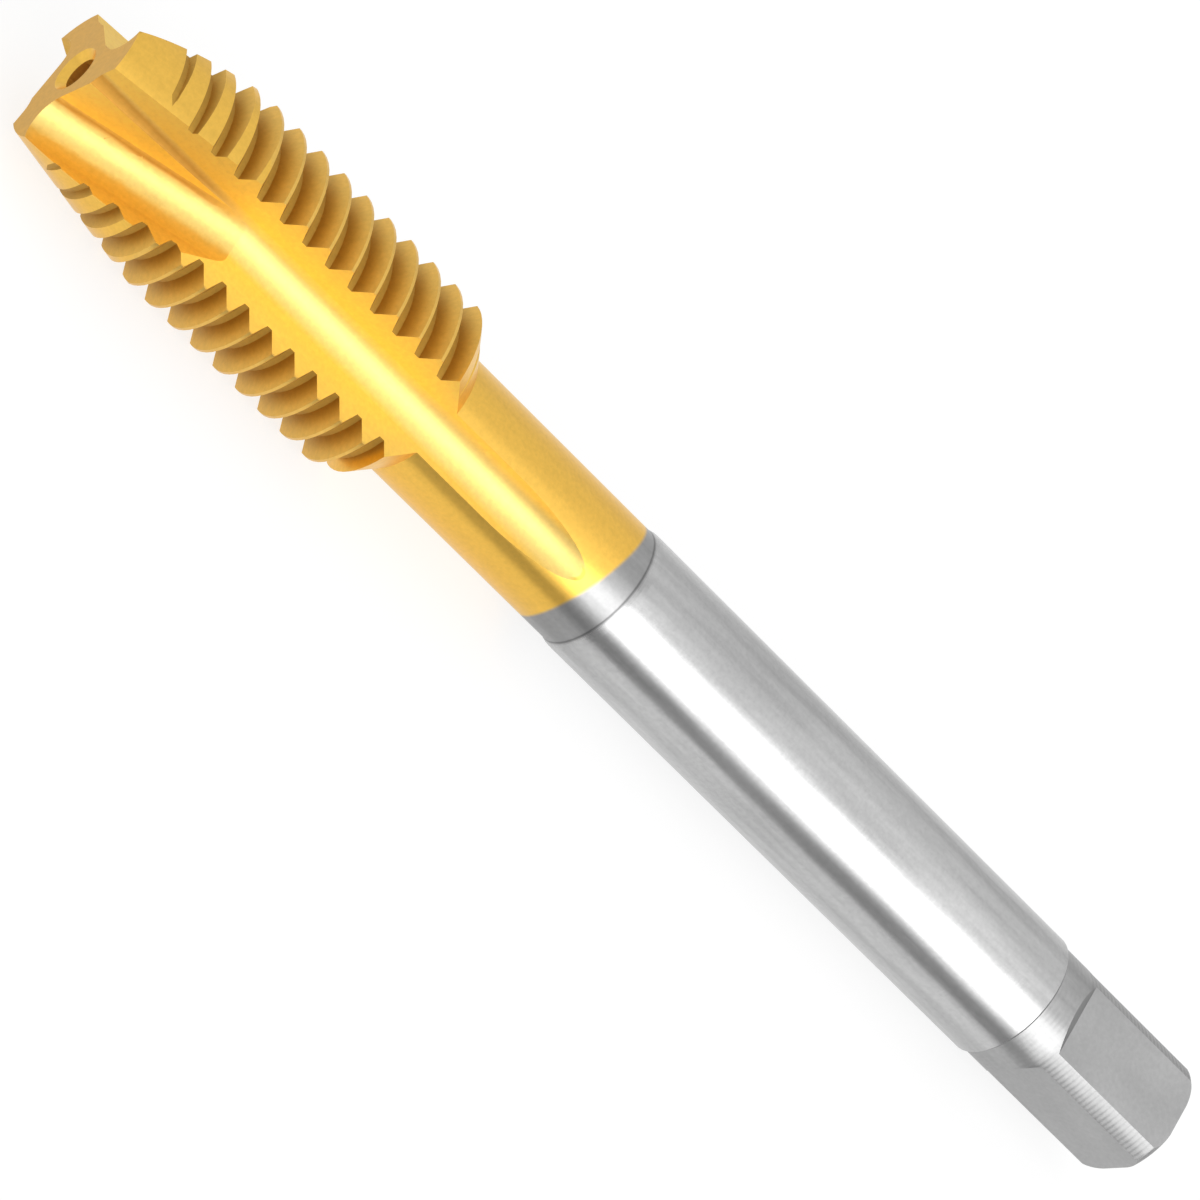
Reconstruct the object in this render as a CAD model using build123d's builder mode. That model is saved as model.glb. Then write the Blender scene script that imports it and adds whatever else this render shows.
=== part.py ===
from build123d import *

import math
import os

# Machine thread tap, M10 x 1.5, spiral point, three straight flutes and a driving square.
# It is ground from one high speed steel blank, so it is one solid.
# The tap lies along X with one flute straight down. The cutting tip points to -X and the
# centre of the drive end face is the origin. Stations are distances from the cutting tip.

# Lengths along the axis
overall_length = 75.0
lead_length = 7.0
thread_length = 21.3
shoulder_station = 35.2
drive_end_length = 9.9

# Turned and ground diameters
tip_diameter = 8.1
major_diameter = 10.15
neck_diameter = 6.8
shank_diameter = 7.0
drive_end_diameter = 6.68
rear_bevel_angle = 45.0
shoulder_bevel_length = 0.3
shank_lead_in_length = 0.22
shank_lead_in_depth = 0.02
end_bevel_length = 0.45
end_bevel_depth = 0.5
end_bevel_crown = 0.07

# Thread grooves: 60 degree form with a narrow flat at the root. The first one is counted where
# it crosses the middle of the lowest flute.
pitch = 1.5
thread_root_diameter = 8.32
thread_root_flat = 0.29
thread_angle = 60.0
first_groove_station = 0.46

# Flutes
flute_count = 3
core_diameter = 5.1
flute_side_angle = 46.5
flute_floor_radius = 1.45
flute_end_station = 32.9
grinding_wheel_radius = 17.6

# Spiral point: a gash that starts beside the flute at the tip, sharpens the leading side of
# the next land and runs out where its middle line meets the flute's
gash_offset = 2.2
gash_floor_height = 0.865
gash_floor_radius = 1.42
gash_cutting_face_angle = 21.0
gash_back_angle = 47.5
gash_end_station = 10.2

# Relief of the lead: each land falls away behind its cutting edge, because it is ground about
# an axis that is moved towards that edge. The angle is counted from the middle of the flute.
relief_eccentricity = 0.5
relief_start_angle = 24.0

# Driving square
square_across_flats = 5.4
square_length = 7.6
square_run_in_angle = 42.0
square_turn = 27.0

# Centre hole in the tip
centre_hole_diameter = 1.7
centre_hole_depth = 3.0
centre_bevel_diameter = 2.4
centre_bevel_angle = 90.0
drill_point_angle = 118.0

# How far each cutting tool stands clear of the metal that it leaves
tool_clearance = 0.6
groove_tool_clearance = 0.06

tip_radius = tip_diameter / 2
major_radius = major_diameter / 2
neck_radius = neck_diameter / 2
shank_radius = shank_diameter / 2
drive_end_radius = drive_end_diameter / 2
core_radius = core_diameter / 2
thread_root_radius = thread_root_diameter / 2
tool_radius = major_radius + tool_clearance
rear_bevel_length = (major_radius - neck_radius) / math.tan(math.radians(rear_bevel_angle))
neck_station = thread_length + rear_bevel_length
flute_spacing = 360 / flute_count

# The section plane stands at the tip, looks along the axis and has the lowest flute on its +Y side.
tip_plane = Plane(origin=(-overall_length, 0, 0), x_dir=(0, -1, 0), z_dir=(1, 0, 0))
# The side plane holds the axis and the middle line of the same flute.
side_plane = Plane(origin=(-overall_length, 0, 0), x_dir=(1, 0, 0), z_dir=(0, 1, 0))
flute_angles = [turn * flute_spacing for turn in range(flute_count)]


def vee_side(floor_height, floor_radius, side_angle, top_height):
    """Foot and top of one side of a vee, as distances from its middle line and heights."""
    lean = math.radians(side_angle)
    foot_width = floor_radius * math.cos(lean)
    foot_height = floor_height + floor_radius * (1 - math.sin(lean))
    top_width = foot_width + (top_height - foot_height) * math.tan(lean)
    return (foot_width, foot_height), (top_width, top_height)


def vee_outline(floor_height, floor_radius, left_angle, right_angle, middle=0.0):
    """Draw an open vee with a rounded floor, as the grinding wheel leaves it."""
    left_foot, left_top = vee_side(floor_height, floor_radius, left_angle, tool_radius)
    right_foot, right_top = vee_side(floor_height, floor_radius, right_angle, tool_radius)
    left_start = (middle - left_foot[0], left_foot[1])
    right_end = (middle + right_foot[0], right_foot[1])
    with BuildLine() as outline:
        Polyline(
            left_start,
            (middle - left_top[0], left_top[1]),
            (middle + right_top[0], right_top[1]),
            right_end,
        )
        ThreePointArc(left_start, (middle, floor_height), right_end)
    return outline.line


def turned_blank():
    """Revolve the lead cone, thread body, rear bevel, neck, shank and drive end."""
    lead_in_station = shoulder_station + shoulder_bevel_length
    drive_end_station = overall_length - drive_end_length
    bevel_start = (overall_length - end_bevel_length, drive_end_radius)
    bevel_end = (overall_length, drive_end_radius - end_bevel_depth)
    bevel_width = math.hypot(end_bevel_length, end_bevel_depth)
    bevel_crest = (
        overall_length - end_bevel_length / 2 + end_bevel_crown * end_bevel_depth / bevel_width,
        drive_end_radius - end_bevel_depth / 2 + end_bevel_crown * end_bevel_length / bevel_width,
    )
    with BuildPart() as blank:
        with BuildSketch(side_plane):
            with BuildLine():
                Polyline(
                    bevel_end,
                    (overall_length, 0),
                    (0, 0),
                    (0, tip_radius),
                    (lead_length, major_radius),
                    (thread_length, major_radius),
                    (neck_station, neck_radius),
                    (shoulder_station, neck_radius),
                    (lead_in_station, shank_radius - shank_lead_in_depth),
                    (lead_in_station + shank_lead_in_length, shank_radius),
                    (drive_end_station, shank_radius),
                    (drive_end_station + shank_radius - drive_end_radius, drive_end_radius),
                    bevel_start,
                )
                ThreePointArc(bevel_start, bevel_crest, bevel_end)
            make_face()
        revolve(axis=Axis.X)
    return blank.part


def lead_relief_tool(angle):
    """Cone about an axis moved towards one cutting edge, which takes the land down behind it."""
    cone_slope = (major_radius - tip_radius) / lead_length
    inner_radius = tip_radius - relief_eccentricity
    outer_radius = tool_radius + tool_clearance
    reach = (tool_radius - inner_radius) / cone_slope
    edge_plane = side_plane.rotated((angle + relief_start_angle, 0, 0))
    relief_centre = edge_plane.from_local_coords((0, relief_eccentricity, 0))
    relief_plane = Plane(relief_centre, x_dir=edge_plane.x_dir, z_dir=edge_plane.z_dir)
    with BuildPart() as tool:
        with BuildSketch(relief_plane):
            with BuildLine():
                Polyline(
                    (0, inner_radius),
                    (reach, tool_radius),
                    (reach, outer_radius),
                    (0, outer_radius),
                    close=True,
                )
            make_face()
        revolve(axis=Axis(relief_centre, (1, 0, 0)), revolution_arc=flute_spacing)
    return tool.part


def flute_tool(angle):
    """One straight flute that runs out of the neck on the grinding wheel's radius."""
    rise = neck_radius - core_radius
    runout_length = math.sqrt(grinding_wheel_radius**2 - (grinding_wheel_radius - rise) ** 2)
    straight_end = flute_end_station - runout_length
    lift = rise + tool_clearance
    runout_angle = math.degrees(math.acos(1 - lift / grinding_wheel_radius))
    outline = vee_outline(core_radius, flute_floor_radius, flute_side_angle, flute_side_angle)
    with BuildPart() as tool:
        with BuildLine(side_plane.rotated((angle, 0, 0))) as wheel_path:
            Line((-tool_clearance, 0), (straight_end, 0))
            JernArc((straight_end, 0), (1, 0), grinding_wheel_radius + core_radius, runout_angle)
        with BuildSketch(tip_plane.rotated((angle, 0, 0)).offset(-tool_clearance)):
            make_face(outline)
        sweep(path=wheel_path.line)
    return tool.part


def gash_tool(angle):
    """Skewed gash that throws the chips forward and sharpens the next land."""
    section_plane = tip_plane.rotated((angle, 0, 0))
    rise = core_radius + flute_floor_radius - gash_floor_height - gash_floor_radius
    path = (
        section_plane.z_dir * gash_end_station
        + section_plane.x_dir * gash_offset
        + section_plane.y_dir * rise
    )
    outline = vee_outline(
        gash_floor_height,
        gash_floor_radius,
        gash_cutting_face_angle,
        gash_back_angle,
        -gash_offset,
    )
    with BuildPart() as tool:
        with BuildSketch(section_plane):
            make_face(outline)
        extrude(amount=path.length, dir=path)
    return tool.part


def flat_tool(angle):
    """Milled flat of the driving square, with its sloping run-in."""
    flat_height = square_across_flats / 2
    run_in = (tool_radius - flat_height) / math.tan(math.radians(square_run_in_angle))
    flat_station = overall_length - square_length
    with BuildPart() as tool:
        with BuildSketch(side_plane.rotated((angle, 0, 0))):
            with BuildLine():
                Polyline(
                    (flat_station, flat_height),
                    (overall_length + tool_clearance, flat_height),
                    (overall_length + tool_clearance, tool_radius),
                    (flat_station - run_in, tool_radius),
                    close=True,
                )
            make_face()
        extrude(amount=tool_radius, both=True)
    return tool.part


def centre_hole_tool():
    """Drilled centre hole of the tip, with its bevel."""
    hole_radius = centre_hole_diameter / 2
    bevel_radius = centre_bevel_diameter / 2
    bevel_depth = (bevel_radius - hole_radius) / math.tan(math.radians(centre_bevel_angle / 2))
    point_depth = hole_radius / math.tan(math.radians(drill_point_angle / 2))
    with BuildPart() as tool:
        with BuildSketch(side_plane):
            with BuildLine():
                Polyline(
                    (0, 0),
                    (0, bevel_radius),
                    (bevel_depth, hole_radius),
                    (centre_hole_depth, hole_radius),
                    (centre_hole_depth + point_depth, 0),
                    close=True,
                )
            make_face()
        revolve(axis=Axis.X)
    return tool.part


def land_groove_tool():
    """Right-hand helical groove across one land, from the middle of one flute to the next."""
    flank_height = major_radius - thread_root_radius + groove_tool_clearance
    half_width = thread_root_flat / 2 + flank_height * math.tan(math.radians(thread_angle / 2))
    with BuildPart() as tool:
        with BuildLine() as helix:
            Helix(pitch, pitch / flute_count, thread_root_radius, direction=(1, 0, 0))
        with BuildSketch(Plane(helix.line @ 0, x_dir=(1, 0, 0), z_dir=helix.line % 0)):
            with BuildLine():
                Polyline(
                    (-thread_root_flat / 2, 0),
                    (thread_root_flat / 2, 0),
                    (half_width, flank_height),
                    (-half_width, flank_height),
                    close=True,
                )
            make_face()
        sweep(path=helix.line, is_frenet=True)
    return tool.part


def groove_places():
    """One place for each land and turn. The groove tool starts straight up, half a turn away."""
    turns = range(-1, math.ceil((neck_station - first_groove_station) / pitch) + 1)
    return [
        Location(
            (first_groove_station + (turn + angle / 360) * pitch - overall_length, 0, 0),
            (angle + 180, 0, 0),
        )
        for angle in flute_angles
        for turn in turns
    ]


blank = turned_blank()
groove = land_groove_tool()
flutes = [flute_tool(angle) for angle in flute_angles]
land_reliefs = [lead_relief_tool(angle) for angle in flute_angles]
gashes = [gash_tool(angle) for angle in flute_angles]
square_flats = [flat_tool(square_turn + side * 90) for side in range(4)]
centre_hole = centre_hole_tool()

with BuildPart() as tap_body:
    add(blank)
    add(flutes, mode=Mode.SUBTRACT)
    with Locations(groove_places()):
        add(groove, mode=Mode.SUBTRACT)
    add(land_reliefs, mode=Mode.SUBTRACT)
    add(gashes, mode=Mode.SUBTRACT)
    add(square_flats, mode=Mode.SUBTRACT)
    add(centre_hole, mode=Mode.SUBTRACT)

tap_body.part.label = "tap_body"

os.makedirs("parts", exist_ok=True)
export_step(tap_body.part, "parts/tap_body.step")
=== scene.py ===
import math

import bpy
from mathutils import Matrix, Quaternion, Vector


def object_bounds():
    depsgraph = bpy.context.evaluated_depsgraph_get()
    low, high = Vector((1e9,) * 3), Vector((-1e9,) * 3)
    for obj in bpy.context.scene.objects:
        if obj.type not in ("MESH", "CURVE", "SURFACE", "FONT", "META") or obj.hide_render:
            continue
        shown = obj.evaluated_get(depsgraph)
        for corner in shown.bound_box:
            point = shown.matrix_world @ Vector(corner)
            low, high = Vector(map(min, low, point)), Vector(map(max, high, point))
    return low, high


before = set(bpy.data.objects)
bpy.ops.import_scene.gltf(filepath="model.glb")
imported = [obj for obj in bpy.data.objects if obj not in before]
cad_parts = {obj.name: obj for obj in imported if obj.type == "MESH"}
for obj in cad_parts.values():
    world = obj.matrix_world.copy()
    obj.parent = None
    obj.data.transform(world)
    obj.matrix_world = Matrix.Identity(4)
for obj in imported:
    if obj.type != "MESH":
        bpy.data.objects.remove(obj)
cad_low, cad_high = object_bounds()

# The tap lies along X. Its cutting tip is at the low end and its driving square at the origin.
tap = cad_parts["tap_body"]
tip_x = cad_low[0]
floor_height = cad_low[2]

# Camera: how far it stands round the tap, above it and turned about its own view axis. Angles are
# in degrees, lengths in metres, and the lens and sensor in millimetres.
view_azimuth = -29.66
view_elevation = 30.38
view_roll = 60.72
view_distance = 0.39902
view_target = Vector((-0.03913, -0.00022, -0.00033))
lens_length = 264.97
sensor_width = 36.0
nearest_seen = 0.01
farthest_seen = 20.0

# Where the finishes change, in metres from the cutting tip. The coating's edge leans a little.
thread_end = 0.0213
flute_end = 0.0332
gash_end = 0.0102
coating_end = 0.03419
coating_lean_y = 0.267
coating_lean_z = 0.063
shoulder = 0.0352
ground_end = 0.0652
square_start = 0.0650
corner_start = 0.0668

# Over what length one finish gives way to the next
sharp_edge = 0.00004
coating_edge = 0.00012
ring_edge = 0.0002
corner_edge = 0.0006
square_edge = 0.0001
flute_edge = 0.0005
gash_edge = 0.0008
gash_fade = 0.004
thread_edge = 0.0002
# How far the painted shade at the shoulder's corner reaches in front of and behind the shoulder
corner_line_front = 0.00008
corner_line_back = 0.00012

# Radii and heights that tell the surfaces apart, in metres from the axis
neck_radius = 0.00336
groove_radius = 0.00421
crest_radius = 0.00502
flat_height = 0.00276

# Which way the square's two pairs of flats and the three flutes face, in degrees from +Y to +Z
square_turns = (27.0, 117.0)
flute_turns = (-90.0, 30.0, 150.0)

# How the surfaces face, each as where its mask starts and where it is full. Tilt is how far the
# normal leans along the tap, outward how far it points away from the axis, and opening how far it
# points out through a flute's middle.
run_in_tilt = (0.55, 0.65)
end_face_tilt = (0.94, 0.97)
steep_tilt = (0.30, 0.45)
gash_tilt = (0.03, 0.07)
flank_tilt = (0.77, 0.82)
root_tilt = (0.09, 0.12)
flat_facing = (0.97, 0.99)
land_outward = (0.86, 0.93)
beside_gash_opening = (0.75, 0.85)
# Where the painted highlight on the flute floors starts and where it is full
floor_opening = (0.71, 0.88)

# Colours, as linear light
gold_turned = (0.96, 0.58, 0.105)
gold_flute = (1.0, 0.68, 0.15)
# Paler gold on the flute floors: a painted highlight
flute_floor_painted_highlight = (1.0, 0.735, 0.235)
# Darker gold on the strip of flute beside each gash: painted shade
beside_gash_painted_shade_gold = (0.72, 0.39, 0.075)
gold_gash = (0.80, 0.50, 0.115)
gold_crest = (0.90, 0.56, 0.13)
gold_flank = (0.86, 0.55, 0.125)
# Darker gold in the thread's roots: painted shade
root_painted_shade_gold = (0.55, 0.315, 0.058)
gold_tip = (0.76, 0.46, 0.115)
steel_ground = (0.565, 0.565, 0.565)
steel_ring = (0.38, 0.38, 0.38)
steel_end = (0.44, 0.44, 0.44)
steel_corner = (0.36, 0.36, 0.36)
steel_milled = (0.46, 0.46, 0.46)

# Roughness of each finish
rough_turned_gold = 0.31
rough_flute = 0.50
rough_beside_gash = 0.64
rough_flank = 0.52
rough_crest = 0.30
rough_tip = 0.52
rough_ground = 0.24
rough_ring = 0.34
rough_end = 0.38
rough_corner = 0.36
rough_milled = 0.45

# Marks that the machines leave: how close together they are along X, Y and Z, as cycles in a metre
grinding_lines = (9000.0, 50.0, 50.0)
flute_lines = (40.0, 6000.0, 6000.0)
long_clouds = (80.0, 850.0, 850.0)
milling_lines = (5200.0, 160.0, 160.0)
flat_patches = (170.0, 260.0, 260.0)
fine_grain = (4200.0, 4200.0, 4200.0)

# How many finer layers the noise of each kind of mark has, and how strong the finer ones are
line_detail = 3.0
cloud_detail = 4.0
patch_detail = 1.0
grain_detail = 2.0
noise_roughness = 0.6

# Rings that the turning tool leaves on the drive end: how far apart they are and how far they stray,
# in metres, and how many times deeper they are between the flats
turning_pitch = 0.00029
turning_wander = 0.00006
corner_ring_depth = 2.6

# How far the marks stand out; the distance is in metres
bump_strength = 0.5
bump_distance = 0.000006

# How much the marks lighten or darken a colour, and over which stretch of the clouds' noise, and how much
# painted shade darkens the run-in and the shoulder's corner
steel_cloud_shade = (0.84, 1.10)
steel_cloud_spread = (0.30, 0.72)
gold_cloud_shade = (0.96, 1.03)
gold_cloud_spread = (0.25, 0.75)
flat_patch_shade = (0.76, 1.20)
grain_shade = (0.88, 1.12)
run_in_painted_shade = 0.72
corner_line_painted_shade = 0.55

# How much the clouds change a roughness
cloud_roughness = (0.85, 1.15)

# Stage: a white floor and one softbox. A pale canopy above the softbox, a grey screen behind the
# tap and a dark flag on the floor show in the metal only. Elevations are counted over the top.
tap_middle = Vector((-0.0375, 0.0, 0.0))
floor_width = 4.0
floor_colour = (0.9, 0.9, 0.9)
floor_glow = 1.12
floor_reflection = 0.95
shadow_share = 0.30
world_light = 0.90
softbox_elevation = 21.0
softbox_lean = 0.43
softbox_distance = 0.6
softbox_width = 0.9
softbox_height = 0.59
softbox_radiance = 2.0
canopy_elevation = 65.0
canopy_depth = 0.34
canopy_strength = 1.06
back_screen_elevation = 150.0
back_screen_depth = 0.25
back_screen_strength = 0.70
flag_y = -0.0196
flag_width = 0.0205
flag_length = 0.22
flag_lift = 0.0001
flag_strength = 0.32


def empty_material(name):
    """A material whose tree holds an output only; returns it, the tree and the surface socket."""
    material = bpy.data.materials.new(name)
    material.use_nodes = True
    tree = material.node_tree
    tree.nodes.clear()
    return material, tree, tree.nodes.new("ShaderNodeOutputMaterial").inputs["Surface"]


def maths(tree, operation, *values):
    """A Math node on sockets or numbers; returns its result."""
    node = tree.nodes.new("ShaderNodeMath")
    node.operation = operation
    for place, value in enumerate(values):
        if isinstance(value, (int, float)):
            node.inputs[place].default_value = value
        else:
            tree.links.new(value, node.inputs[place])
    return node.outputs[0]


def ramp(tree, value, low, high):
    """Rises smoothly from 0 at low to 1 at high."""
    node = tree.nodes.new("ShaderNodeMapRange")
    node.interpolation_type = "SMOOTHSTEP"
    node.inputs["From Min"].default_value = low
    node.inputs["From Max"].default_value = high
    tree.links.new(value, node.inputs["Value"])
    return node.outputs["Result"]


def both(tree, first, second):
    """The product of two values, or a mask where both masks hold."""
    return maths(tree, "MULTIPLY", first, second)


def outside(tree, mask):
    """The rest of a mask."""
    return maths(tree, "SUBTRACT", 1.0, mask)


def mix_colour(tree, share, first, second):
    """first where share is 0, second where it is 1; each a socket or a colour."""
    node = tree.nodes.new("ShaderNodeMix")
    node.data_type = "RGBA"
    # Input 0 is the share, inputs 6 and 7 are the two colours, and output 2 is their mixture
    for value, socket in ((share, node.inputs[0]), (first, node.inputs[6]), (second, node.inputs[7])):
        if isinstance(value, tuple):
            socket.default_value = (*value, 1.0)
        elif isinstance(value, (int, float)):
            socket.default_value = value
        else:
            tree.links.new(value, socket)
    return node.outputs[2]


def mix_number(tree, share, first, second):
    """first where share is 0, second where it is 1."""
    span = maths(tree, "SUBTRACT", second, first)
    return maths(tree, "ADD", maths(tree, "MULTIPLY", span, share), first)


def scaled_colour(tree, colour, factor):
    """A colour times a number."""
    node = tree.nodes.new("ShaderNodeVectorMath")
    node.operation = "SCALE"
    tree.links.new(colour, node.inputs[0])
    tree.links.new(factor, node.inputs["Scale"])
    return node.outputs[0]


def marks(tree, position, scale, detail):
    """Noise stretched by a scale on each axis, as a machine leaves its marks."""
    stretch = tree.nodes.new("ShaderNodeVectorMath")
    stretch.operation = "MULTIPLY"
    stretch.inputs[1].default_value = scale
    tree.links.new(position, stretch.inputs[0])
    noise = tree.nodes.new("ShaderNodeTexNoise")
    noise.inputs["Scale"].default_value = 1.0
    noise.inputs["Detail"].default_value = detail
    noise.inputs["Roughness"].default_value = noise_roughness
    tree.links.new(stretch.outputs[0], noise.inputs["Vector"])
    return noise.outputs["Fac"]


def split(tree, vector):
    """The three parts of a vector."""
    node = tree.nodes.new("ShaderNodeSeparateXYZ")
    tree.links.new(vector, node.inputs[0])
    return node.outputs[0], node.outputs[1], node.outputs[2]


def reach_towards(tree, y, z, turn):
    """How far a vector reaches towards one direction round the tap, counted from +Y to +Z."""
    angle = math.radians(turn)
    return maths(tree, "ADD", maths(tree, "MULTIPLY", y, math.cos(angle)),
                 maths(tree, "MULTIPLY", z, math.sin(angle)))


def surface_zones(tree, position, normal):
    """Masks of the tap's surfaces, from where they are and which way they face."""
    x, y, z = split(tree, position)
    normal_x, normal_y, normal_z = split(tree, normal)
    station = maths(tree, "SUBTRACT", x, tip_x)
    radius = maths(tree, "SQRT", maths(tree, "ADD", both(tree, y, y), both(tree, z, z)))
    outward = maths(tree, "ADD", both(tree, normal_y, y), both(tree, normal_z, z))
    outward = maths(tree, "DIVIDE", outward, radius)
    tilt = maths(tree, "ABSOLUTE", normal_x)

    lean = maths(tree, "ADD", both(tree, y, coating_lean_y), both(tree, z, coating_lean_z))
    coating_station = maths(tree, "SUBTRACT", station, lean)
    bare = ramp(tree, coating_station, coating_end - coating_edge, coating_end + coating_edge)
    in_ring = outside(tree, ramp(tree, station, shoulder, shoulder + ring_edge))
    in_end = ramp(tree, station, ground_end - sharp_edge, ground_end + sharp_edge)
    in_corner = ramp(tree, station, corner_start, corner_start + corner_edge)

    # A fine line of painted shade in the corner where the ring meets the ground shank
    corner_line = both(tree, ramp(tree, station, shoulder - corner_line_front, shoulder),
                       outside(tree, ramp(tree, station, shoulder, shoulder + corner_line_back)))

    # Flats of the square: at their height from the axis and facing square to it
    in_square = ramp(tree, station, square_start, square_start + square_edge)
    near_flat = 0.0
    for turn in square_turns:
        reach = maths(tree, "ABSOLUTE", reach_towards(tree, normal_y, normal_z, turn))
        facing = ramp(tree, reach, *flat_facing)
        height = maths(tree, "ABSOLUTE", reach_towards(tree, y, z, turn))
        low = outside(tree, ramp(tree, height, flat_height, flat_height + square_edge))
        near_flat = maths(tree, "MAXIMUM", near_flat, both(tree, facing, low))
    run_in = both(tree, ramp(tree, tilt, *run_in_tilt), in_square)
    flat = maths(tree, "MAXIMUM", both(tree, in_square, near_flat), run_in)
    end_face = ramp(tree, tilt, *end_face_tilt)

    # Flutes and gashes: below the neck's surface, or a wall that faces across the tap
    in_flutes = outside(tree, ramp(tree, station, flute_end, flute_end + flute_edge))
    sunk = outside(tree, ramp(tree, radius, neck_radius - sharp_edge, neck_radius))
    across = outside(tree, ramp(tree, outward, *land_outward))
    level = outside(tree, ramp(tree, tilt, *steep_tilt))
    flute = both(tree, both(tree, in_flutes, level), maths(tree, "MAXIMUM", sunk, across))
    opening = 0.0
    for turn in flute_turns:
        opening = maths(tree, "MAXIMUM", opening, reach_towards(tree, normal_y, normal_z, turn))
    # A gash rises towards its end, so its surfaces lean and those of the flute beside it don't
    leaned = both(tree, flute, ramp(tree, tilt, *gash_tilt))
    gash = both(tree, leaned, outside(tree, ramp(tree, station, gash_end, gash_end + gash_edge)))
    # The strip of flute beside a gash near the tip gets a darker gold as painted shade
    before_gash_end = outside(tree, ramp(tree, station, gash_end - gash_fade, gash_end))
    beside_gash = both(tree, both(tree, flute, outside(tree, leaned)), before_gash_end)
    beside_gash = both(tree, beside_gash, ramp(tree, opening, *beside_gash_opening))
    # The flute floors, facing out through the flute's middle, get a paler gold as a painted highlight
    flute_floor = both(tree, flute, ramp(tree, opening, *floor_opening))

    # Thread: flanks lean along the tap, roots lie deep and level, crests stand at the full radius
    in_thread = outside(tree, ramp(tree, station, thread_end, thread_end + thread_edge))
    leaning = both(tree, ramp(tree, tilt, *flank_tilt), outside(tree, end_face))
    upright = outside(tree, ramp(tree, tilt, *root_tilt))
    deep = outside(tree, ramp(tree, radius, groove_radius, groove_radius + sharp_edge))
    root = both(tree, deep, outside(tree, flute))
    flank = both(tree, in_thread, maths(tree, "MAXIMUM", leaning, both(tree, root, upright)))
    crest = both(tree, ramp(tree, radius, crest_radius - sharp_edge, crest_radius), level)
    # Share of the flank's gold against the darker root gold; the darkening towards the roots is painted shade
    depth = ramp(tree, radius, groove_radius, crest_radius)
    return {"bare": bare, "in_ring": in_ring, "in_end": in_end, "in_corner": in_corner,
            "flat": flat, "run_in": run_in, "end_face": end_face,
            "flute": flute, "flute_floor": flute_floor, "gash": gash, "beside_gash": beside_gash,
            "flank": flank, "crest": crest, "depth": depth, "corner_line": corner_line}


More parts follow.
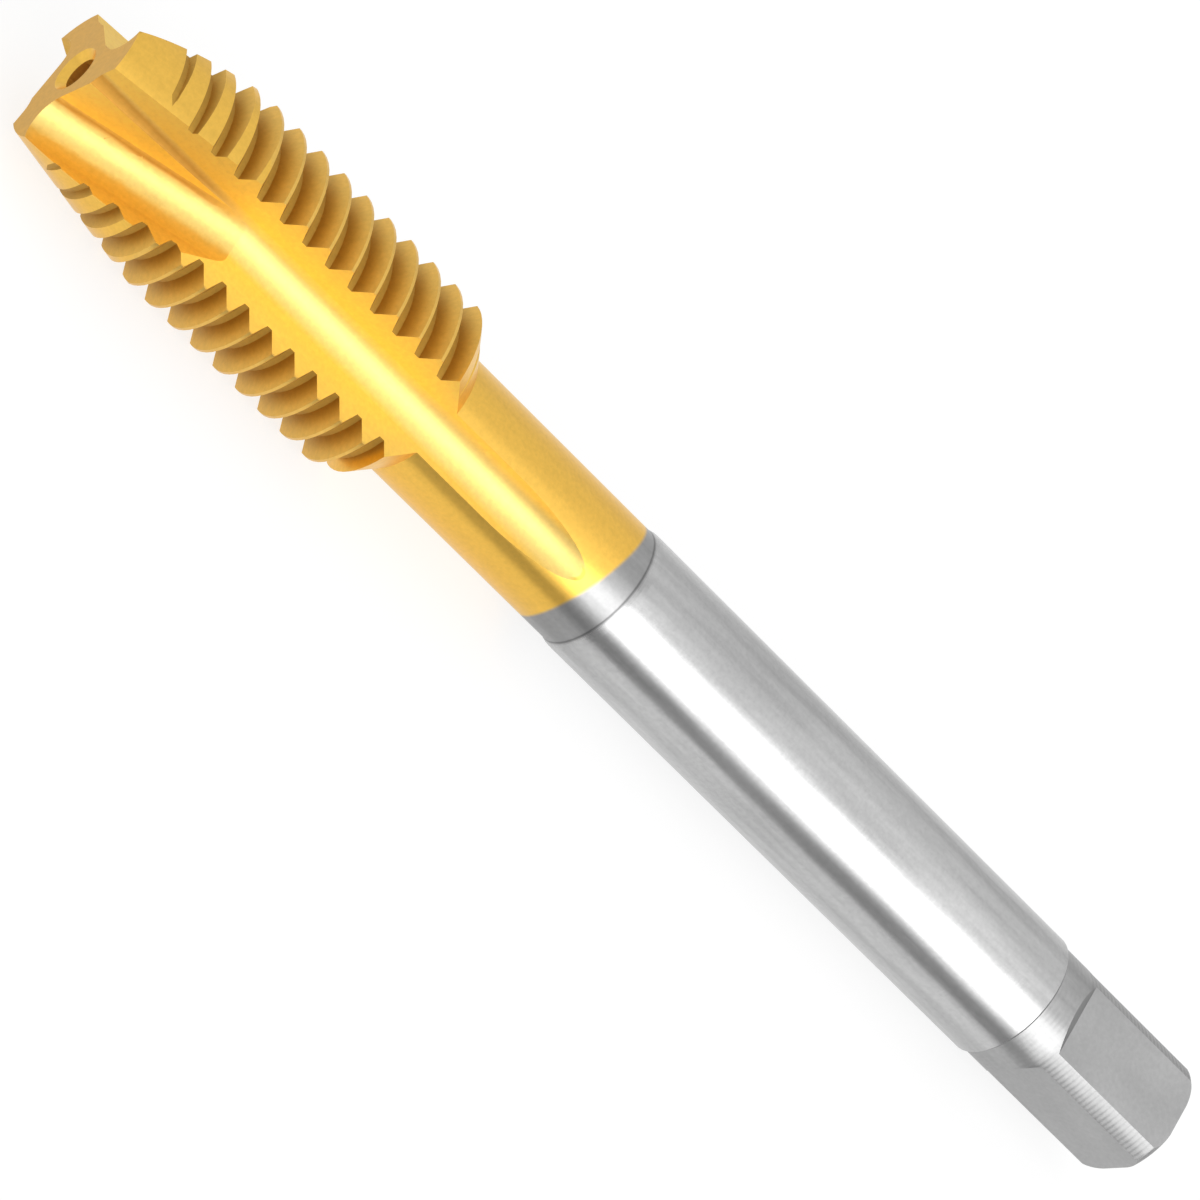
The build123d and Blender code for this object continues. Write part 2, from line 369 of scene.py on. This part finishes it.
def ground_tool_steel():
    """Ground steel, bare behind and gold-coated in front, with the finish of each zone, a painted highlight
    on the flute floors and painted shade in the thread roots, beside the gashes, on the run-in and at the
    shoulder's corner.
    """
    material, tree, surface = empty_material("ground_tool_steel")
    shader = tree.nodes.new("ShaderNodeBsdfPrincipled")
    tree.links.new(shader.outputs["BSDF"], surface)
    coordinates = tree.nodes.new("ShaderNodeTexCoord")
    position = coordinates.outputs["Object"]
    zones = surface_zones(tree, position, coordinates.outputs["Normal"])
    clouds = marks(tree, position, long_clouds, cloud_detail)
    grain = marks(tree, position, fine_grain, grain_detail)
    patches = marks(tree, position, flat_patches, patch_detail)
    milled = maths(tree, "MAXIMUM", zones["flat"], zones["end_face"])

    # Colour of each zone, with clouds along the tap and a fine grain, a painted highlight on the flute floors
    # and painted shade in the thread roots, beside the gashes, on the run-in and at the shoulder's corner
    gold = mix_colour(tree, zones["flute"], gold_turned, gold_flute)
    gold = mix_colour(tree, zones["gash"], gold, gold_gash)
    # Painted highlight: paler gold along the flute floors
    gold = mix_colour(tree, zones["flute_floor"], gold, flute_floor_painted_highlight)
    # Painted shade: darker gold on the flute beside the gashes
    gold = mix_colour(tree, zones["beside_gash"], gold, beside_gash_painted_shade_gold)
    gold = mix_colour(tree, zones["crest"], gold, gold_crest)
    # Painted shade: the flanks darken towards the thread's roots
    gold = mix_colour(tree, zones["flank"], gold, mix_colour(tree, zones["depth"], root_painted_shade_gold, gold_flank))
    gold = mix_colour(tree, zones["end_face"], gold, gold_tip)
    steel = mix_colour(tree, zones["in_ring"], steel_ground, steel_ring)
    steel = mix_colour(tree, zones["in_end"], steel, steel_end)
    steel = mix_colour(tree, zones["in_corner"], steel, steel_corner)
    steel = mix_colour(tree, milled, steel, steel_milled)
    steel_cloud = mix_number(tree, ramp(tree, clouds, *steel_cloud_spread), *steel_cloud_shade)
    steel_cloud = mix_number(tree, zones["flat"], steel_cloud, mix_number(tree, patches, *flat_patch_shade))
    # Painted shade on the square's run-in
    steel_cloud = both(tree, steel_cloud, mix_number(tree, zones["run_in"], 1.0, run_in_painted_shade))
    # Painted shade along the shoulder's corner
    steel_cloud = both(tree, steel_cloud, mix_number(tree, zones["corner_line"], 1.0, corner_line_painted_shade))
    gold_cloud = mix_number(tree, ramp(tree, clouds, *gold_cloud_spread), *gold_cloud_shade)
    cloud = mix_number(tree, zones["bare"], gold_cloud, steel_cloud)
    colour = mix_colour(tree, zones["bare"], gold, steel)
    colour = scaled_colour(tree, colour, both(tree, cloud, mix_number(tree, grain, *grain_shade)))
    tree.links.new(colour, shader.inputs["Base Color"])

    # Roughness of each zone
    gold_rough = mix_number(tree, zones["flute"], rough_turned_gold, rough_flute)
    gold_rough = mix_number(tree, zones["beside_gash"], gold_rough, rough_beside_gash)
    gold_rough = mix_number(tree, zones["crest"], gold_rough, rough_crest)
    gold_rough = mix_number(tree, zones["flank"], gold_rough, rough_flank)
    gold_rough = mix_number(tree, zones["end_face"], gold_rough, rough_tip)
    steel_rough = mix_number(tree, zones["in_ring"], rough_ground, rough_ring)
    steel_rough = mix_number(tree, zones["in_end"], steel_rough, rough_end)
    steel_rough = mix_number(tree, zones["in_corner"], steel_rough, rough_corner)
    steel_rough = mix_number(tree, milled, steel_rough, rough_milled)
    rough = mix_number(tree, zones["bare"], gold_rough, steel_rough)
    rough = both(tree, rough, mix_number(tree, clouds, *cloud_roughness))
    tree.links.new(rough, shader.inputs["Roughness"])
    shader.inputs["Metallic"].default_value = 1.0

    # Lines run round the turned surfaces, along the flutes and across the milled flats
    turned = marks(tree, position, grinding_lines, line_detail)
    drawn = marks(tree, position, flute_lines, line_detail)
    milling = marks(tree, position, milling_lines, line_detail)
    x = split(tree, position)[0]
    wander = maths(tree, "ADD", x, maths(tree, "MULTIPLY", turned, turning_wander))
    rings = maths(tree, "SINE", maths(tree, "MULTIPLY", wander, 2 * math.pi / turning_pitch))
    rings = both(tree, rings, mix_number(tree, zones["in_corner"], 1.0, corner_ring_depth))
    in_turned_end = both(tree, zones["in_end"], outside(tree, milled))
    height = mix_number(tree, zones["flute"], turned, drawn)
    height = mix_number(tree, maths(tree, "MAXIMUM", zones["flank"], zones["end_face"]), height, grain)
    height = mix_number(tree, zones["flat"], height, maths(tree, "ADD", milling, grain))
    height = maths(tree, "ADD", height, both(tree, rings, in_turned_end))
    bump = tree.nodes.new("ShaderNodeBump")
    bump.inputs["Strength"].default_value = bump_strength
    bump.inputs["Distance"].default_value = bump_distance
    tree.links.new(height, bump.inputs["Height"])
    tree.links.new(bump.outputs["Normal"], shader.inputs["Normal"])
    return material


def seen_or_reflected(tree):
    """1 for rays from the camera, from metal and through glass, 0 for the light on matt surfaces."""
    paths = tree.nodes.new("ShaderNodeLightPath")
    return maths(tree, "MAXIMUM", paths.outputs["Is Camera Ray"],
                 maths(tree, "MAXIMUM", paths.outputs["Is Glossy Ray"], paths.outputs["Is Transmission Ray"]))


def white_floor_material():
    """Pale floor that shows as white to the camera and in reflections and keeps a soft shadow."""
    material, tree, surface = empty_material("white_floor")
    diffuse = tree.nodes.new("ShaderNodeBsdfDiffuse")
    diffuse.inputs["Color"].default_value = (*floor_colour, 1.0)
    emission = tree.nodes.new("ShaderNodeEmission")
    paths = tree.nodes.new("ShaderNodeLightPath")
    glow = mix_number(tree, paths.outputs["Is Camera Ray"], floor_reflection, floor_glow)
    tree.links.new(glow, emission.inputs["Strength"])
    mix = tree.nodes.new("ShaderNodeMixShader")
    tree.links.new(both(tree, seen_or_reflected(tree), 1.0 - shadow_share), mix.inputs["Fac"])
    tree.links.new(diffuse.outputs[0], mix.inputs[1])
    tree.links.new(emission.outputs[0], mix.inputs[2])
    tree.links.new(mix.outputs[0], surface)
    return material


def card_material(name, strength):
    """Plain light of one strength."""
    material, tree, surface = empty_material(name)
    emission = tree.nodes.new("ShaderNodeEmission")
    emission.inputs["Strength"].default_value = strength
    tree.links.new(emission.outputs[0], surface)
    return material


def add_card(name, centre, across, up, width, height, material):
    """A flat stage card: across and up are its unit directions."""
    half_across = Vector(across) * width / 2
    half_up = Vector(up) * height / 2
    middle = Vector(centre)
    corners = [middle - half_across - half_up, middle + half_across - half_up,
               middle + half_across + half_up, middle - half_across + half_up]
    mesh = bpy.data.meshes.new(name)
    mesh.from_pydata([tuple(corner) for corner in corners], [], [(0, 1, 2, 3)])
    mesh.materials.append(material)
    card = bpy.data.objects.new(name, mesh)
    bpy.context.scene.collection.objects.link(card)
    return card


def show_in_reflections_only(card):
    """The card is seen in metal and nowhere else, and casts no shadow."""
    card.visible_camera = False
    card.visible_diffuse = False
    card.visible_shadow = False
    card.visible_transmission = False


def around_tap(elevation):
    """Direction from the tap, leaning to the drive end; past 90 degrees it points behind the tap."""
    level = math.radians(elevation)
    side = math.sqrt(1 - softbox_lean**2)
    return Vector((softbox_lean, -math.cos(level) * side, math.sin(level) * side))


def add_softbox():
    """Soft lamp of a plain radiance that faces the tap; the camera doesn't see it."""
    direction = around_tap(softbox_elevation)
    lamp = bpy.data.lights.new("softbox", "AREA")
    lamp.shape = "RECTANGLE"
    lamp.size = softbox_width
    lamp.size_y = softbox_height
    lamp.energy = softbox_radiance * math.pi * softbox_width * softbox_height
    holder = bpy.data.objects.new("softbox", lamp)
    turned = direction.to_track_quat("Z", "Y")
    holder.location = tap_middle + direction * softbox_distance
    holder.rotation_euler = turned.to_euler()
    holder.visible_camera = False
    bpy.context.scene.collection.objects.link(holder)


def add_screen(name, elevation, depth, strength):
    """A card that only the metal shows, as far away and as wide as the softbox."""
    direction = around_tap(elevation)
    turned = direction.to_track_quat("Z", "Y")
    across = turned @ Vector((1, 0, 0))
    up = turned @ Vector((0, 1, 0))
    middle = tap_middle + direction * softbox_distance
    show_in_reflections_only(add_card(name, middle, across, up, softbox_width, depth,
                                      card_material(name, strength)))


def add_camera():
    """Camera at the viewing angle, square frame."""
    azimuth = math.radians(view_azimuth)
    elevation = math.radians(view_elevation)
    back = Vector((math.cos(elevation) * math.sin(azimuth),
                   -math.cos(elevation) * math.cos(azimuth),
                   math.sin(elevation)))
    data = bpy.data.cameras.new("camera")
    data.sensor_width = sensor_width
    data.lens = lens_length
    data.clip_start = nearest_seen
    data.clip_end = farthest_seen
    camera = bpy.data.objects.new("camera", data)
    camera.location = view_target + back * view_distance
    turned = back.to_track_quat("Z", "Y") @ Quaternion((0, 0, 1), math.radians(view_roll))
    camera.rotation_euler = turned.to_euler()
    bpy.context.scene.collection.objects.link(camera)
    bpy.context.scene.camera = camera


def add_world():
    """White surroundings in view and in reflections, plain light elsewhere."""
    world = bpy.data.worlds.new("surroundings")
    world.use_nodes = True
    tree = world.node_tree
    tree.nodes.clear()
    output = tree.nodes.new("ShaderNodeOutputWorld")
    background = tree.nodes.new("ShaderNodeBackground")
    tree.links.new(mix_number(tree, seen_or_reflected(tree), world_light, 1.0), background.inputs["Strength"])
    tree.links.new(background.outputs[0], output.inputs["Surface"])
    bpy.context.scene.world = world


tap.data.materials.clear()
tap.data.materials.append(ground_tool_steel())

floor_middle = (tap_middle.x, tap_middle.y, floor_height)
add_card("floor", floor_middle, (1, 0, 0), (0, 1, 0), floor_width, floor_width, white_floor_material())
add_softbox()
add_screen("canopy", canopy_elevation, canopy_depth, canopy_strength)
add_screen("back_screen", back_screen_elevation, back_screen_depth, back_screen_strength)
flag_middle = (tap_middle.x, flag_y, floor_height + flag_lift)
show_in_reflections_only(add_card("flag", flag_middle, (1, 0, 0), (0, 1, 0), flag_length, flag_width,
                                  card_material("dark_flag", flag_strength)))
add_world()
add_camera()
bpy.context.scene.view_settings.view_transform = "Standard"
